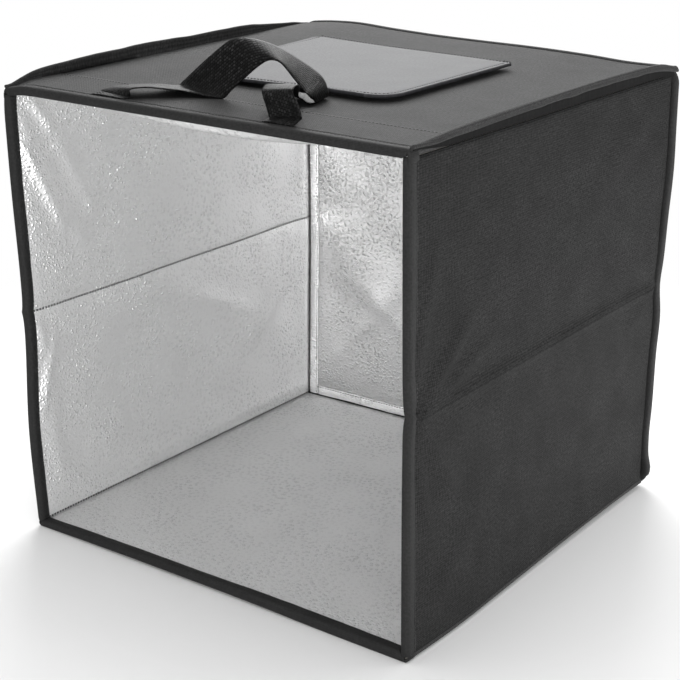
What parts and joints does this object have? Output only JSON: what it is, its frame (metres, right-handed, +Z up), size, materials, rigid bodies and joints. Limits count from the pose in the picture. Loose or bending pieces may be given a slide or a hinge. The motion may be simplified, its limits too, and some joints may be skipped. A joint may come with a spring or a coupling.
{
  "type": "light tent cube",
  "caption": "Folding cube-shaped light tent with an open front, silver-lined stiff fabric walls, a top camera hatch and a webbing handle",
  "frame": {"origin": "middle of the floor panel's underside", "axes": "+Z up, +X to the right and +Y towards the back panel, seen from the open front"},
  "size_m": [0.4107, 0.4, 0.4458],
  "materials": {
    "cover_cloth": "matt woven polyester",
    "coated_flap_cloth": "smooth coated nylon",
    "board": "grey stiffening board, hidden",
    "silver_lining": "embossed silver film on cloth",
    "binding_tape": "woven binding tape",
    "webbing": "black woven polypropylene webbing",
    "fastener_tape": "hook and loop tape"
  },
  "bodies": {
    "floor": {"floor_cover": "cover_cloth", "floor_board": "board", "floor_lining": "silver_lining", "floor_front_binding": "binding_tape", "floor_back_flange": "silver_lining"},
    "left_lower": {"left_lower_cover": "cover_cloth", "left_lower_board": "board", "left_lower_lining": "silver_lining", "left_lower_front_binding": "binding_tape"},
    "left_upper": {"left_upper_cover": "cover_cloth", "left_upper_board": "board", "left_upper_lining": "silver_lining", "left_upper_front_binding": "binding_tape"},
    "roof": {"roof_cover": "cover_cloth", "roof_board": "board", "roof_lining": "silver_lining", "roof_front_binding": "binding_tape", "roof_back_flange": "silver_lining", "left_roof_seam_fin": "binding_tape", "right_roof_seam_fin": "binding_tape", "handle_reinforcement": "cover_cloth", "handle_left_anchor": "webbing", "handle_right_anchor": "webbing", "hatch_sewn_edge": "coated_flap_cloth", "hatch_loop_tape": "fastener_tape"},
    "right_lower": {"right_lower_cover": "cover_cloth", "right_lower_board": "board", "right_lower_lining": "silver_lining", "right_lower_front_binding": "binding_tape"},
    "right_upper": {"right_upper_cover": "cover_cloth", "right_upper_board": "board", "right_upper_lining": "silver_lining", "right_upper_front_binding": "binding_tape"},
    "back": {"back_cover": "cover_cloth", "back_board": "board", "back_lining": "silver_lining", "back_left_binding": "binding_tape", "back_right_binding": "binding_tape", "back_bottom_binding": "binding_tape", "back_top_binding": "binding_tape", "back_left_flange": "silver_lining", "back_right_flange": "silver_lining"},
    "hatch": {"hatch_cover": "coated_flap_cloth", "hatch_board": "board", "hatch_lining": "silver_lining", "hatch_hook_tape": "fastener_tape"},
    "handle": {"handle_strap": "webbing"}
  },
  "joints": [
    {"name": "left_lower_fold", "type": "hinge", "parent": "floor", "child": "left_lower", "pos_m": [-0.195, 0, 0.0053], "axis": [0, 1, 0], "range_deg": [0, 88]},
    {"name": "left_crease_fold", "type": "hinge", "parent": "left_lower", "child": "left_upper", "pos_m": [-0.2005, 0, 0.2], "axis": [0, 1, 0], "range_deg": [-176, 0]},
    {"name": "roof_fold", "type": "hinge", "parent": "left_upper", "child": "roof", "pos_m": [-0.195, 0, 0.3947], "axis": [0, 1, 0], "range_deg": [0, 88]},
    {"name": "right_lower_fold", "type": "hinge", "parent": "floor", "child": "right_lower", "pos_m": [0.195, 0, 0.0053], "axis": [0, 1, 0], "range_deg": [-88, 0]},
    {"name": "right_crease_fold", "type": "hinge", "parent": "right_lower", "child": "right_upper", "pos_m": [0.2005, 0, 0.2], "axis": [0, 1, 0], "range_deg": [0, 176]},
    {"name": "back_panel_fold", "type": "hinge", "parent": "floor", "child": "back", "pos_m": [0, 0.2, 0], "axis": [-1, 0, 0], "range_deg": [0, 90]},
    {"name": "hatch_lift", "type": "hinge", "parent": "roof", "child": "hatch", "pos_m": [-0.012, 0.096, 0.4053], "axis": [-1, 0, 0], "range_deg": [0, 110]},
    {"name": "handle_lift", "type": "hinge", "parent": "roof", "child": "handle", "pos_m": [-0.016, -0.1892, 0.4032], "axis": [1, 0, 0], "range_deg": [0, 90]}
  ],
  "couplings": [
    {"joint": "left_crease_fold", "follows": "left_lower_fold", "ratio": -2},
    {"joint": "roof_fold", "follows": "left_lower_fold", "ratio": 1},
    {"joint": "right_lower_fold", "follows": "left_lower_fold", "ratio": -1},
    {"joint": "right_crease_fold", "follows": "left_lower_fold", "ratio": 2}
  ]
}
